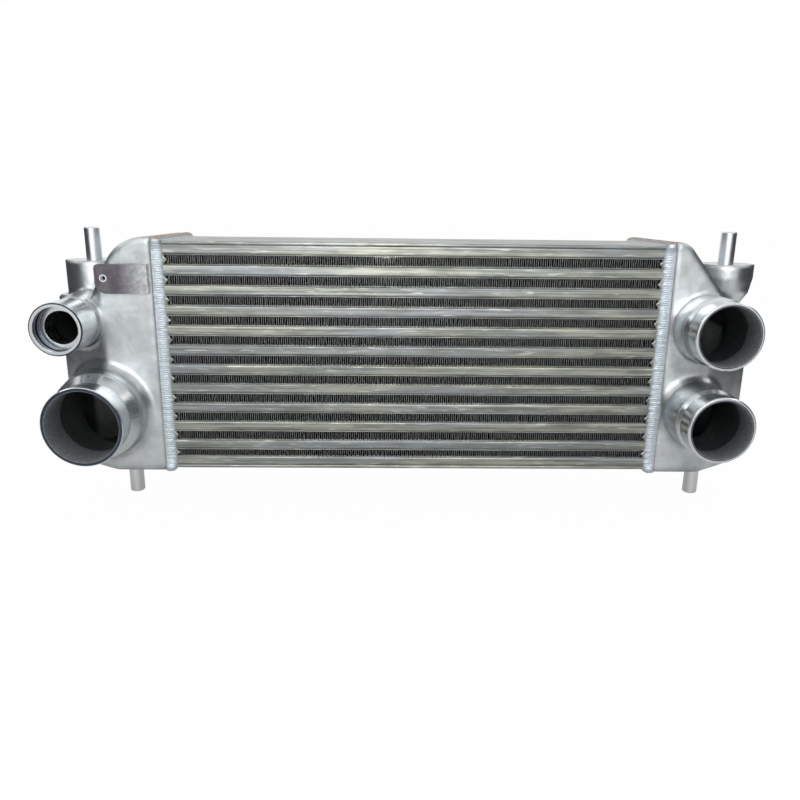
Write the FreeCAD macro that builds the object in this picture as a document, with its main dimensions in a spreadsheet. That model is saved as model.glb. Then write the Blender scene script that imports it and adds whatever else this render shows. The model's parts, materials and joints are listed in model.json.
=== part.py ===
import FreeCAD, Part
import math
import os
import Sketcher

# Bar-and-plate air-to-air intercooler with two cast end tanks.
# Frame: origin on the axis of the lower left locating pin, where it leaves the tank;
# +X towards the right tank, +Y from the core's front face to its rear face, +Z up.
# Millimetres. Pieces are drawn about the centre of the core's underside, and each one's
# Placement moves it into the frame.

SIZES = {
    # core, brazed from side plates, closing bars, parting sheets, nose bars and fins
    "core_length": 525.0,
    "core_depth": 122.0,
    "side_plate": 3.0,
    "bar_height": 9.6,
    "bar_depth": 8.0,
    "bar_edge": 0.8,
    "sheet_gauge": 0.8,
    "fin_height": 9.2,
    "last_fin_height": 7.2,
    "nose_length": 15.0,
    "nose_taper": 4.6,
    "fin_setback": 2.0,
    "fin_gauge": 0.5,
    "fin_end_gap": 0.4,
    "turbulator_gauge": 0.6,
    "turbulator_end_gap": 4.0,
    # end tanks
    "rim_stand": 4.0,
    "tank_wall": 6.0,
    "joint_spare": 20.0,
    "cast_edge": 2.4,
    "tank_heel_bevel": 5.0,
    "tank_corner_radius": 12.0,
    "tank_nose_radius": 22.0,
    "tank_nose_half": 28.0,
    "left_reach": 113.5,
    "left_flat": 54.0,
    "left_shoulder": 31.8,
    "left_shoulder_radius": 46.0,
    "left_shelf_in": 66.2,
    "left_shelf_drop": 58.0,
    "left_shelf_end_drop": 58.0,
    "right_reach": 105.5,
    "right_flat": 50.0,
    "right_shoulder": 12.0,
    "right_shoulder_radius": 22.0,
    "right_shelf_in": 73.3,
    "right_shelf_drop": 73.0,
    "right_shelf_end_drop": 88.0,
    # turned hose necks: land, bead at the mouth and coned collar at the root
    "neck_bead_length": 4.0,
    "neck_bead_rise": 1.4,
    "neck_bead_edge": 1.0,
    "neck_wall": 2.4,
    "left_neck_out": 60.5,
    "left_neck_up": 63.0,
    "left_neck_mouth": 123.0,
    "left_neck_radius": 38.6,
    "left_land_length": 26.0,
    "left_collar_length": 11.0,
    "left_collar_rise": 6.2,
    "right_upper_neck_out": 38.0,
    "right_upper_neck_up": 156.0,
    "right_upper_neck_mouth": 121.0,
    "right_lower_neck_out": 36.0,
    "right_lower_neck_up": 66.0,
    "right_lower_neck_mouth": 133.0,
    "right_neck_radius": 32.1,
    "right_land_length": 23.0,
    "right_collar_length": 4.5,
    "right_collar_rise": 2.4,
    # cast boots that carry the necks
    "boot_groove": 0.9,
    "boot_bore_step": 1.0,
    "boot_cover": 10.5,
    "boot_root_clearance": 1.0,
    "left_boot_draft": 2.0,
    "left_boot_root": 6.0,
    "right_boot_root": 5.0,
    # quick-fit port on the left tank
    "port_out": 81.5,
    "port_up": 156.0,
    "port_mouth": 109.0,
    "port_root": 70.0,
    "port_radius": 25.8,
    "port_boot_radius": 30.0,
    "port_seat_radius": 21.8,
    "port_seat_depth": 14.0,
    "port_clip_groove": 1.6,
    "port_clip_width": 4.5,
    "port_clip_depth": 6.0,
    "port_bore_radius": 16.5,
    # locating pins and their bosses
    "pin_radius": 8.0,
    "pin_chamfer": 1.2,
    "pin_spigot_radius": 6.0,
    "pin_bond_gap": 0.05,
    "upper_pin_grip": 18.0,
    "upper_pin_stand": 34.0,
    "lower_pin_stand": 46.0,
    "lower_pin_grip": 11.0,
    "lower_boss_radius": 12.0,
    "lower_boss_rise": 9.0,
    "upper_pin_out": 80.5,
    "lower_left_pin_out": 55.5,
    "lower_right_pin_out": 71.0,
    "boss_radius": 29.0,
    "left_boss_drop": 23.0,
    "left_boss_height": 38.0,
    "right_boss_drop": 21.0,
    "right_boss_skirt": 14.0,
    "right_boss_hip": 30.0,
    "right_boss_hip_radius": 26.0,
    "right_boss_foot": 60.0,
    "right_boss_foot_radius": 7.0,
    # threaded tab bracket
    "tab_length": 52.0,
    "tab_height": 29.0,
    "tab_gauge": 4.0,
    "tab_foot": 11.0,
    "tab_standoff": 3.0,
    "tab_drop": 22.5,
    "tab_inset": 2.5,
    "tab_upper_radius": 4.0,
    "tab_lower_radius": 11.0,
    "tab_hole_radius": 2.5,
    "tab_hole_inset": 8.5,
    "tab_hole_drop": 13.8,
    # weld beads between the tanks and the core
    "bead_leg": 8.6,
    "bead_height": 3.6,
    "bead_round": 2.6,
}

CHARGE_CHANNELS = 12
AMBIENT_ROWS = CHARGE_CHANNELS - 1
AMBIENT_WAVES = 12
TURBULATOR_WAVES = 3

ALONG_X = FreeCAD.Vector(1, 0, 0)
ALONG_Y = FreeCAD.Vector(0, 1, 0)
ALONG_Z = FreeCAD.Vector(0, 0, 1)

# Expressions shared by several pieces.
HALF_DEPTH = "(dim.core_depth / 2)"
HALF_LENGTH = "(dim.core_length / 2)"
TANK_DEPTH = "(dim.core_depth + 2 * dim.rim_stand)"
FULL_PITCH = "(dim.bar_height + 2 * dim.sheet_gauge + dim.fin_height)"
LAST_PITCH = "(dim.bar_height + 2 * dim.sheet_gauge + dim.last_fin_height)"
DATUM_X = "(dim.core_length / 2 + dim.lower_left_pin_out)"
DATUM_Z = "dim.rim_stand"


def bar_base(channel):
    """Height of the underside of a charge channel; channel 1 is the top one."""
    if channel == CHARGE_CHANNELS:
        return "dim.side_plate"
    full_rows = CHARGE_CHANNELS - 1 - channel
    return f"(dim.side_plate + {LAST_PITCH} + {full_rows} * {FULL_PITCH})"


CORE_HEIGHT = f"({bar_base(1)} + dim.bar_height + dim.side_plate)"


def fin_height(row):
    """The bottom ambient row is lower than the others."""
    return "dim.last_fin_height" if row == AMBIENT_ROWS else "dim.fin_height"


def fin_base(row):
    """Height of the underside of an ambient fin row; row 1 is the top one."""
    return f"({bar_base(row + 1)} + dim.bar_height + dim.sheet_gauge)"


def add_sheet(doc):
    """Spreadsheet with one named cell for each driving dimension."""
    sheet = doc.addObject("Spreadsheet::Sheet", "dim")
    for row, (alias, value) in enumerate(SIZES.items(), start=1):
        sheet.set(f"A{row}", alias)
        sheet.set(f"B{row}", str(value))
        sheet.setAlias(f"B{row}", alias)
    doc.recompute()
    return sheet


def bind(obj, **expressions):
    """Bind properties to expressions; an underscore in a name stands for a dot."""
    for name, expression in expressions.items():
        obj.setExpression(name.replace("_", "."), expression)


def settle(obj):
    """Move a sub-part from the core's own centre line into the frame."""
    obj.setExpression("Placement.Base.x", DATUM_X)
    obj.setExpression("Placement.Base.z", DATUM_Z)
    return obj


def new_body(doc, label):
    body = doc.addObject("PartDesign::Body", label)
    body.Label = label
    return body


def sketch_on(body, name, role, offset):
    """Empty sketch on one of the body's own origin planes, moved by expressions."""
    sketch = body.newObject("Sketcher::SketchObject", name)
    plane = [item for item in body.Origin.OriginFeatures if item.Role == role][0]
    sketch.AttachmentSupport = [(plane, "")]
    sketch.MapMode = "FlatFace"
    for axis, expression in (offset or {}).items():
        sketch.setExpression(f"AttachmentOffset.Base.{axis}", expression)
    return sketch


def add_loop(sketch, points):
    """Closed straight-sided loop whose corners are bound to (across, up) expressions."""
    first = sketch.GeometryCount
    count = len(points)
    # The starting places only need the right order round the loop; the solver moves them.
    spots = [FreeCAD.Vector(index, index * index, 0) for index in range(count)]
    for index in range(count):
        sketch.addGeometry(Part.LineSegment(spots[index], spots[(index + 1) % count]), False)
    for index in range(count):
        joint = (first + index, 2, first + (index + 1) % count, 1)
        sketch.addConstraint(Sketcher.Constraint("Coincident", *joint))
    for index, corner in enumerate(points):
        for kind, expression, start in zip(("DistanceX", "DistanceY"), corner, spots[index]):
            title = f"{kind[-1].lower()}{first + index}"
            bind_constraint(sketch, title, expression, kind, first + index, 1, start)


def bind_constraint(sketch, title, expression, *facts):
    """Add a named constraint whose value comes from an expression."""
    number = sketch.addConstraint(Sketcher.Constraint(*facts))
    sketch.renameConstraint(number, title)
    sketch.setExpression(f"Constraints.{title}", expression)


def outline(body, name, role, *loops, offset=None):
    """Sketch made of one or more closed polygons."""
    sketch = sketch_on(body, name, role, offset)
    for loop in loops:
        add_loop(sketch, loop)
    return sketch


def disc(body, name, role, radius, offset=None):
    """Sketch with one circle about the sketch's own origin."""
    sketch = sketch_on(body, name, role, offset)
    sketch.addGeometry(Part.Circle(FreeCAD.Vector(0, 0, 0), FreeCAD.Vector(0, 0, 1), 5.0), False)
    sketch.addConstraint(Sketcher.Constraint("Coincident", 0, 3, -1, 1))
    bind_constraint(sketch, "radius", radius, "Radius", 0, 5.0)
    return sketch


def feature(body, kind, name, profile, **settings):
    """Add a PartDesign feature that uses a sketch, and recompute up to it."""
    made = body.newObject(f"PartDesign::{kind}", name)
    made.Profile = profile
    for key, value in settings.items():
        setattr(made, key, value)
    return made


def pad(body, name, profile, length, symmetric=False, reverse=False):
    made = feature(body, "Pad", name, profile, Reversed=reverse)
    made.SideType = "Symmetric" if symmetric else "One side"
    bind(made, Length=length)
    return made


def cut(body, kind, name, profile, length=None, reverse=False):
    """Pocket or groove that must take material away."""
    body.Document.recompute()
    before = body.Tip.Shape.Volume
    made = feature(body, kind, name, profile, Reversed=reverse)
    if kind == "Pocket":
        bind(made, Length=length)
    else:
        made.ReferenceAxis = (profile, ["V_Axis"])
        made.Angle = 360
    body.Document.recompute()
    if not made.Shape.Volume < before:
        raise RuntimeError(f"{body.Label}: {name} removes nothing")
    return made


def turned(body, name, profile):
    """Revolution about the sketch's vertical axis."""
    made = feature(body, "Revolution", name, profile)
    made.ReferenceAxis = (profile, ["V_Axis"])
    made.Angle = 360
    return made


def dress_edges(body, kind, name, wanted, **size):
    """Fillet or chamfer every edge of the body's present shape that the test picks."""
    body.Document.recompute()
    base = body.Tip
    names = [f"Edge{number}" for number, edge in enumerate(base.Shape.Edges, 1) if wanted(edge)]
    if not names:
        raise RuntimeError(f"{body.Label}: {name} finds no edge")
    made = body.newObject(f"PartDesign::{kind}", name)
    made.Base = (base, names)
    bind(made, **size)
    body.Document.recompute()
    return made


def round_edges(body, name, wanted, radius):
    return dress_edges(body, "Fillet", name, wanted, Radius=radius)


def bevel_edges(body, name, wanted, size):
    return dress_edges(body, "Chamfer", name, wanted, Size=size)


def runs_along(edge, axis):
    """True for a straight edge parallel to an axis."""
    if edge.Curve.TypeId != "Part::GeomLine":
        return False
    return abs(abs(edge.Curve.Direction.dot(axis)) - 1.0) < 1e-6


def near(value, target, slack=0.01):
    return abs(value - target) < slack


def box(doc, name, corner, size):
    """Part::Box bound to expressions for its low corner and its three sizes."""
    made = doc.addObject("Part::Box", name)
    for prop, expression in zip(("Length", "Width", "Height"), size):
        made.setExpression(prop, expression)
    for axis, expression in zip("xyz", corner):
        made.setExpression(f"Placement.Base.{axis}", expression)
    return made


def group(doc, label, members):
    """Like pieces that share one node as separate solids."""
    made = doc.addObject("Part::Compound", label)
    made.Label = label
    made.Links = members
    return settle(made)


def side_plates(doc):
    """Flat plates that close the stack at its top and bottom."""
    plates = []
    for label, base in (
        ("top_side_plate", f"{CORE_HEIGHT} - dim.side_plate"),
        ("bottom_side_plate", "0"),
    ):
        corner = (f"{DATUM_X} - {HALF_LENGTH}", f"-{HALF_DEPTH}", f"{DATUM_Z} + {base}")
        plates.append(box(doc, label, corner, ("dim.core_length", "dim.core_depth", "dim.side_plate")))
    return plates


def parting_sheets(doc):
    """Thin sheets between the charge channels and the ambient fin rows."""
    sheets = []
    for row in range(1, AMBIENT_ROWS + 1):
        for place, base in (
            ("upper", f"{fin_base(row)} + {fin_height(row)}"),
            ("lower", f"{fin_base(row)} - dim.sheet_gauge"),
        ):
            corner = (f"-{HALF_LENGTH}", f"-{HALF_DEPTH}", base)
            size = ("dim.core_length", "dim.core_depth", "dim.sheet_gauge")
            sheets.append(box(doc, f"sheet_{place}_{row:02d}", corner, size))
    return group(doc, "parting_sheets", sheets)


def closing_bar(doc, side, channel, sheet):
    """Long bar that seals a charge channel, its two outer edges eased."""
    body = new_body(doc, f"{side}_closing_bar_{channel:02d}")
    sign = "-" if side == "front" else ""
    outer = f"{sign}{HALF_DEPTH}"
    inner = f"{sign}({HALF_DEPTH} - dim.bar_depth)"
    low = bar_base(channel)
    high = f"{low} + dim.bar_height"
    corners = [(outer, low), (inner, low), (inner, high), (outer, high)]
    section = outline(body, f"{body.Name}_section", "YZ_Plane", corners)
    pad(body, f"{body.Name}_pad", section, "dim.core_length", symmetric=True)
    face = (-1 if side == "front" else 1) * sheet.core_depth / 2

    def outer_edge(edge):
        return runs_along(edge, ALONG_X) and near(edge.Vertexes[0].Y, face)

    bevel_edges(body, f"{body.Name}_eased", outer_edge, "dim.bar_edge")
    return settle(body)


def nose_bars(doc, side):
    """Bars with a V nose, which close the ends of the ambient channels."""
    sign = "-" if side == "left" else ""
    back = f"{sign}{HALF_LENGTH}"
    shoulder = f"{sign}({HALF_LENGTH} - dim.nose_length + dim.nose_taper)"
    tip = f"{sign}({HALF_LENGTH} - dim.nose_length)"
    bars = []
    for row in range(1, AMBIENT_ROWS + 1):
        body = new_body(doc, f"{side}_nose_bar_{row:02d}")
        low = fin_base(row)
        middle = f"{low} + {fin_height(row)} / 2"
        high = f"{low} + {fin_height(row)}"
        corners = [(back, low), (shoulder, low), (tip, middle), (shoulder, high), (back, high)]
        section = outline(body, f"{body.Name}_section", "XZ_Plane", corners)
        pad(body, f"{body.Name}_pad", section, "dim.core_depth", symmetric=True)
        bars.append(body)
    return group(doc, f"{side}_nose_bars", bars)


def corrugate(body, plane, reach, waves, low, high, gauge, length):
    """Corrugated strip between two heights: one wave, repeated along the drawing's level axis."""
    step = f"{reach} / {waves}"
    wave = [
        (f"-{reach}", low),
        (f"-{reach} + {step}", f"{high} - {gauge}"),
        (f"-{reach} + 2 * {step}", low),
        (f"-{reach} + 2 * {step}", f"{low} + {gauge}"),
        (f"-{reach} + {step}", high),
        (f"-{reach}", f"{low} + {gauge}"),
    ]
    profile = outline(body, f"{body.Name}_wave", plane, wave)
    first = pad(body, f"{body.Name}_first_wave", profile, length, symmetric=True)
    pattern = body.newObject("PartDesign::LinearPattern", f"{body.Name}_waves")
    pattern.Originals = [first]
    pattern.Direction = (profile, ["H_Axis"])
    pattern.Occurrences = waves
    bind(pattern, Length=f"2 * {step} * {waves - 1}")
    body.Tip = pattern


def ambient_fins(doc):
    """One corrugated strip for each ambient row, its crests against the sheets."""
    reach = f"({HALF_LENGTH} - dim.nose_length - dim.fin_end_gap)"
    rows = []
    for row in range(1, AMBIENT_ROWS + 1):
        body = new_body(doc, f"ambient_fin_row_{row:02d}")
        low = fin_base(row)
        corrugate(body, "XZ_Plane", reach, AMBIENT_WAVES, low, f"{low} + {fin_height(row)}",
                  "dim.fin_gauge", "dim.core_depth - 2 * dim.fin_setback")
        rows.append(settle(body))
    return rows


def turbulators(doc):
    """Corrugated strips inside the charge channels, open towards both tanks."""
    reach = f"({HALF_DEPTH} - dim.bar_depth - dim.fin_end_gap)"
    strips = []
    for channel in range(1, CHARGE_CHANNELS + 1):
        body = new_body(doc, f"turbulator_{channel:02d}")
        low = bar_base(channel)
        corrugate(body, "YZ_Plane", reach, TURBULATOR_WAVES, low, f"{low} + dim.bar_height",
                  "dim.turbulator_gauge", "dim.core_length - 2 * dim.turbulator_end_gap")
        strips.append(body)
    return group(doc, "charge_fins", strips)


def outward(side, distance):
    """X expression for a distance outward from a tank's joint plane."""
    sign = "-" if side == "left" else ""
    return f"{sign}({HALF_LENGTH} + {distance})"


def tank_form(body, side, sheet, inset):
    """Tank-shaped block, every face set in by a wall: the casting's outside, or its hollow.

    It is made longer than the tank on the core's side, so that every rounding runs off the
    end; joint_cut() trims it flush afterwards.
    """
    shelf = f"((dim.{side}_shelf_end_drop - dim.{side}_shelf_drop) / (dim.{side}_reach - dim.{side}_shelf_in))"
    slope = f"((dim.{side}_shelf_drop + dim.rim_stand) / (dim.{side}_shelf_in - dim.{side}_shoulder))"
    slant = f"(({TANK_DEPTH} / 2 - dim.tank_nose_half) / (dim.{side}_reach - dim.{side}_flat))"
    shelf_wall = f"({inset} * sqrt(1 + {shelf} ^ 2))"
    slope_wall = f"({inset} * sqrt(1 + {slope} ^ 2))"
    slant_wall = f"({inset} * sqrt(1 + {slant} ^ 2))"
    elbow = f"(({slope_wall} - {shelf_wall}) / ({slope} - {shelf}))"
    start = outward(side, "-dim.joint_spare")
    end = outward(side, f"dim.{side}_reach - {inset}")
    top = f"{CORE_HEIGHT} + dim.rim_stand - {inset}"
    foot = f"-dim.rim_stand + {inset}"
    corners = [
        (start, foot),
        (end, foot),
        (end, f"{CORE_HEIGHT} - dim.{side}_shelf_end_drop + {shelf} * {inset} - {shelf_wall}"),
        (outward(side, f"dim.{side}_shelf_in - {elbow}"),
         f"{CORE_HEIGHT} - dim.{side}_shelf_drop + {shelf} * {elbow} - {shelf_wall}"),
        (outward(side, f"dim.{side}_shoulder - ({slope_wall} - {inset}) / {slope}"), top),
        (start, top),
    ]
    profile = outline(body, f"{body.Name}_front_profile", "XZ_Plane", corners)
    pad(body, f"{body.Name}_block", profile, f"{TANK_DEPTH} - 2 * {inset}", symmetric=True)

    # The plan tapers from the flat front and rear to a narrow outer nose.
    flat = outward(side, f"dim.{side}_flat - ({slant_wall} - {inset}) / {slant}")
    past_end = outward(side, f"dim.{side}_reach + 20")
    trims = []
    for sign in ("-", ""):
        edge = f"{sign}({TANK_DEPTH} / 2 - {inset})"
        nose = f"{sign}(dim.tank_nose_half + {slant} * {inset} - {slant_wall})"
        beyond = f"{sign}({TANK_DEPTH} / 2 + 20)"
        trims.append([(flat, edge), (end, nose), (past_end, nose), (past_end, beyond), (flat, beyond)])
    plan = outline(body, f"{body.Name}_plan_trim", "XY_Plane", *trims,
                   offset={"z": "-dim.rim_stand - 5"})
    height = f"{CORE_HEIGHT} + 2 * dim.rim_stand + 10"
    cut(body, "Pocket", f"{body.Name}_plan_cut", plan, height, reverse=True)
    wall = body.Tip.Shape.BoundBox.ZMin + sheet.rim_stand
    shoulder_x = sheet.core_length / 2 + sheet.value(f"{side}_shoulder")
    rim = body.Tip.Shape.BoundBox.ZMax

    def shoulder(edge):
        level = runs_along(edge, ALONG_Y) and near(edge.Vertexes[0].Z, rim)
        return level and near(abs(edge.Vertexes[0].X), shoulder_x, wall + 0.01)

    round_edges(body, f"{body.Name}_shoulder", shoulder, f"dim.{side}_shoulder_radius - {inset}")


def dress_casting(body, side, sheet):
    """Round the corners of the outer block and bevel its remaining sharp edges."""
    half = sheet.core_length / 2
    flat_x = half + sheet.value(f"{side}_flat")
    nose_x = half + sheet.value(f"{side}_reach")

    def edges_at(distance, direction, level=None):
        def wanted(edge):
            at_place = runs_along(edge, direction) and near(abs(edge.Vertexes[0].X), distance)
            return at_place and (level is None or near(edge.Vertexes[0].Z, level))
        return wanted

    round_edges(body, f"{side}_flat_rounds", edges_at(flat_x, ALONG_Z), "dim.tank_corner_radius")
    round_edges(body, f"{side}_nose_rounds", edges_at(nose_x, ALONG_Z), "dim.tank_nose_radius")
    bevel_edges(body, f"{side}_heel", edges_at(nose_x, ALONG_Y, -sheet.rim_stand),
                "dim.tank_heel_bevel")

    def cast_edge(edge):
        outside = max(abs(vertex.X) for vertex in edge.Vertexes) > half - sheet.joint_spare + 1
        return outside and is_sharp(body.Tip.Shape, edge)

    bevel_edges(body, f"{side}_cast_edges", cast_edge, "dim.cast_edge")


def hollow(body, side, sheet):
    """Cut the air space out of the casting."""
    space = new_body(body.Document, f"{side}_air_space")
    tank_form(space, side, sheet, "dim.tank_wall")
    before = body.Tip.Shape.Volume
    made = body.newObject("PartDesign::Boolean", f"{side}_hollow")
    made.setObjects([space])
    made.Type = "Cut"
    body.Document.recompute()
    if made.Shape.Volume >= before:
        raise RuntimeError(f"{body.Label}: the air space removes nothing")


def joint_cut(body, side):
    """Trim the casting flush at the joint plane."""
    high = f"{CORE_HEIGHT} + 40"
    wide = f"{TANK_DEPTH} / 2 + 60"
    corners = [(f"-({wide})", "-40"), (wide, "-40"), (wide, high), (f"-({wide})", high)]
    section = outline(body, f"{side}_joint", "YZ_Plane", corners, offset={"z": outward(side, "0")})
    cut(body, "Pocket", f"{side}_joint_cut", section, "dim.joint_spare + 1", reverse=side == "left")


def is_sharp(shape, edge):
    """True where the two faces beside an edge meet at a clear angle."""
    faces = shape.ancestorsOfType(edge, Part.Face)
    if len(faces) != 2:
        return False
    middle = edge.valueAt((edge.FirstParameter + edge.LastParameter) / 2)
    normals = []
    for face in faces:
        u, v = face.Surface.parameter(middle)
        normals.append(face.normalAt(u, v))
    return normals[0].getAngle(normals[1]) > 0.3


def hose_neck(doc, name):
    """Turned hose neck: bead at the mouth, land for the clamp, and a coned collar."""
    side = name.split("_")[0]
    make = "left" if side == "left" else "right"
    body = new_body(doc, name)
    offset = {"x": outward(side, f"dim.{name}_out"), "z": f"dim.{name}_up"}
    radius = f"dim.{make}_neck_radius"
    inner = f"({radius} - dim.neck_wall)"
    bead = f"({radius} + dim.neck_bead_rise)"
    mouth = f"-dim.{name}_mouth"
    land_end = f"({mouth} + dim.{make}_land_length)"
    collar = f"({radius} + dim.{make}_collar_rise)"
    corners = [
        (inner, mouth),
        (f"{bead} - dim.neck_bead_edge", mouth),
        (bead, f"{mouth} + dim.neck_bead_edge"),
        (bead, f"{mouth} + dim.neck_bead_length - dim.neck_bead_edge"),
        (radius, f"{mouth} + dim.neck_bead_length + dim.neck_bead_edge"),
        (radius, land_end),
        (collar, f"{land_end} + dim.{make}_collar_length"),
        (inner, f"{land_end} + dim.{make}_collar_length"),
    ]
    profile = outline(body, f"{name}_profile", "XY_Plane", corners, offset=offset)
    turned(body, f"{name}_turning", profile)
    return body


def boot_end(name, radius):
    """Depth at which a boot's outermost side lies a set cover behind the tank's slanted wall."""
    side = name.split("_")[0]
    slant = f"(({TANK_DEPTH} / 2 - dim.tank_nose_half) / (dim.{side}_reach - dim.{side}_flat))"
    past_flat = f"(dim.{name}_out + {radius} - dim.{side}_flat)"
    return f"-{TANK_DEPTH} / 2 + {slant} * {past_flat} + dim.boot_cover"


def boot(body, name, draft=None):
    """Cast boot between a neck and the tank; any draft ends clear of the bevel at its root."""
    side = name.split("_")[0]
    make = "left" if side == "left" else "right"
    offset = {"x": outward(side, f"dim.{name}_out"), "z": f"dim.{name}_up"}
    seat = f"(-dim.{name}_mouth + dim.{make}_land_length + dim.{make}_collar_length)"
    collar = f"(dim.{make}_neck_radius + dim.{make}_collar_rise)"
    corners = [
        ("0", seat),
        (f"{collar} - dim.boot_groove", seat),
        (collar, f"{seat} + dim.boot_groove"),
    ]
    radius = collar
    if draft:
        radius = f"({collar} + {draft})"
        root = f"({TANK_DEPTH} / 2 + dim.{make}_boot_root + dim.boot_root_clearance)"
        corners.append((radius, f"-{root}"))
    buried = boot_end(name, radius)
    corners += [(radius, buried), ("0", buried)]
    profile = outline(body, f"{name}_boot_profile", "XY_Plane", corners, offset=offset)
    turned(body, f"{name}_boot", profile)


def root_edges(sheet, name, root):
    """Test for the edges where a boot of that radius runs into the tank's walls."""
    centre_x = sheet.core_length / 2 + sheet.value(f"{name}_out")
    centre_z = sheet.value(f"{name}_up")
    front = -sheet.core_depth / 2 - sheet.rim_stand - 0.1

    def wanted(edge):
        for share in (0.05, 0.35, 0.65, 0.95):
            span = edge.LastParameter - edge.FirstParameter
            point = edge.valueAt(edge.FirstParameter + share * span)
            radius = math.hypot(abs(point.x) - centre_x, point.z - centre_z)
            if not front < point.y < 0 or not near(radius, root, 0.1):
                return False
        return True
    return wanted


def boot_bore(body, name):
    """Way through a boot into the tank, a step wider than the neck."""
    side = name.split("_")[0]
    make = "left" if side == "left" else "right"
    offset = {"x": outward(side, f"dim.{name}_out"), "z": f"dim.{name}_up"}
    bore = f"dim.{make}_neck_radius - dim.neck_wall + dim.boot_bore_step"
    past_boot = boot_end(name, f"dim.{make}_neck_radius + dim.{make}_collar_rise") + " + 4"
    corners = [
        ("0", f"-dim.{name}_mouth"),
        (bore, f"-dim.{name}_mouth"),
        (bore, past_boot),
        ("0", past_boot),
    ]
    profile = outline(body, f"{name}_bore_profile", "XY_Plane", corners, offset=offset)
    cut(body, "Groove", f"{name}_bore", profile)


def port_ring(doc):
    """Mouth of the quick-fit port: seat for the fitting, clip groove inside it, then the bore."""
    body = new_body(doc, "quick_fit_port")
    offset = {"x": outward("left", "dim.port_out"), "z": "dim.port_up"}
    mouth = "-dim.port_mouth"
    groove_start = f"{mouth} + dim.port_clip_depth"
    groove_end = f"{groove_start} + dim.port_clip_width"
    groove = "dim.port_seat_radius + dim.port_clip_groove"
    seat_end = f"{mouth} + dim.port_seat_depth"
    corners = [
        ("dim.port_seat_radius", mouth),
        ("dim.port_radius - 1", mouth),
        ("dim.port_radius", f"{mouth} + 1"),
        ("dim.port_radius", "-dim.port_root"),
        ("dim.port_bore_radius", "-dim.port_root"),
        ("dim.port_bore_radius", seat_end),
        ("dim.port_seat_radius", seat_end),
        ("dim.port_seat_radius", groove_end),
        (groove, groove_end),
        (groove, groove_start),
        ("dim.port_seat_radius", groove_start),
    ]
    profile = outline(body, "port_profile", "XY_Plane", corners, offset=offset)
    turned(body, "port_turning", profile)
    return body


def port_root(body):
    """Root of the port, cast on the tank's slanted wall."""
    offset = {"x": outward("left", "dim.port_out"), "z": "dim.port_up"}
    corners = [
        ("0", "-dim.port_root"),
        ("dim.port_radius", "-dim.port_root"),
        ("dim.port_boot_radius", "-dim.tank_nose_half"),
        ("0", "-dim.tank_nose_half"),
    ]
    profile = outline(body, "port_root_profile", "XY_Plane", corners, offset=offset)
    turned(body, "port_root_turning", profile)


def port_bore(body):
    """Way from the port into the tank."""
    offset = {"x": outward("left", "dim.port_out"), "z": "dim.port_up"}
    bore = "dim.port_bore_radius + dim.boot_bore_step"
    corners = [
        ("0", "-dim.port_root - 1"),
        (bore, "-dim.port_root - 1"),
        (bore, "-dim.tank_nose_half + 8"),
        ("0", "-dim.tank_nose_half + 8"),
    ]
    profile = outline(body, "port_bore_profile", "XY_Plane", corners, offset=offset)
    cut(body, "Groove", "port_bore", profile)


def pin_hole(body, name, side, out, seat, depth, upward):
    """Blind hole for a locating pin, a bond gap wider than the pin."""
    radius = "dim.pin_spigot_radius + dim.pin_bond_gap"
    circle = disc(body, f"{name}_circle", "XY_Plane", radius, offset={"x": outward(side, out), "z": seat})
    cut(body, "Pocket", f"{name}_hole", circle, depth, reverse=upward)


LEFT_BOSS_TOP = f"({CORE_HEIGHT} - dim.left_boss_drop)"
RIGHT_BOSS_TOP = f"({CORE_HEIGHT} - dim.right_boss_drop)"


def lower_boss(body, side):
    """Round boss inside the floor that takes the lower pin."""
    name = f"lower_{side}_boss"
    offset = {"x": outward(side, f"dim.lower_{side}_pin_out"), "z": "-dim.rim_stand + dim.tank_wall / 2"}
    circle = disc(body, f"{name}_circle", "XY_Plane", "dim.lower_boss_radius", offset=offset)
    pad(body, name, circle, "dim.tank_wall / 2 + dim.lower_boss_rise")


def left_tank(doc, sheet):
    """Casting with one large boot, the port's root and an upright pin boss."""
    body = new_body(doc, "left_end_tank")
    tank_form(body, "left", sheet, "0")
    dress_casting(body, "left", sheet)
    boss_offset = {"x": outward("left", "dim.upper_pin_out"), "z": LEFT_BOSS_TOP}
    boss = disc(body, "left_boss_circle", "XY_Plane", "dim.boss_radius", offset=boss_offset)
    pad(body, "left_boss", boss, "dim.left_boss_height", reverse=True)
    boot(body, "left_neck", "dim.left_boot_draft")
    root = sheet.left_neck_radius + sheet.left_collar_rise + sheet.left_boot_draft
    bevel_edges(body, "left_neck_root", root_edges(sheet, "left_neck", root), "dim.left_boot_root")
    port_root(body)
    joint_cut(body, "left")
    hollow(body, "left", sheet)
    lower_boss(body, "left")
    boot_bore(body, "left_neck")
    port_bore(body)
    pin_hole(body, "upper_left_pin", "left", "dim.upper_pin_out", LEFT_BOSS_TOP,
             "dim.upper_pin_grip", False)
    pin_hole(body, "lower_left_pin", "left", "dim.lower_left_pin_out", "-dim.rim_stand",
             "dim.lower_pin_grip", True)
    return settle(body)


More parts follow.
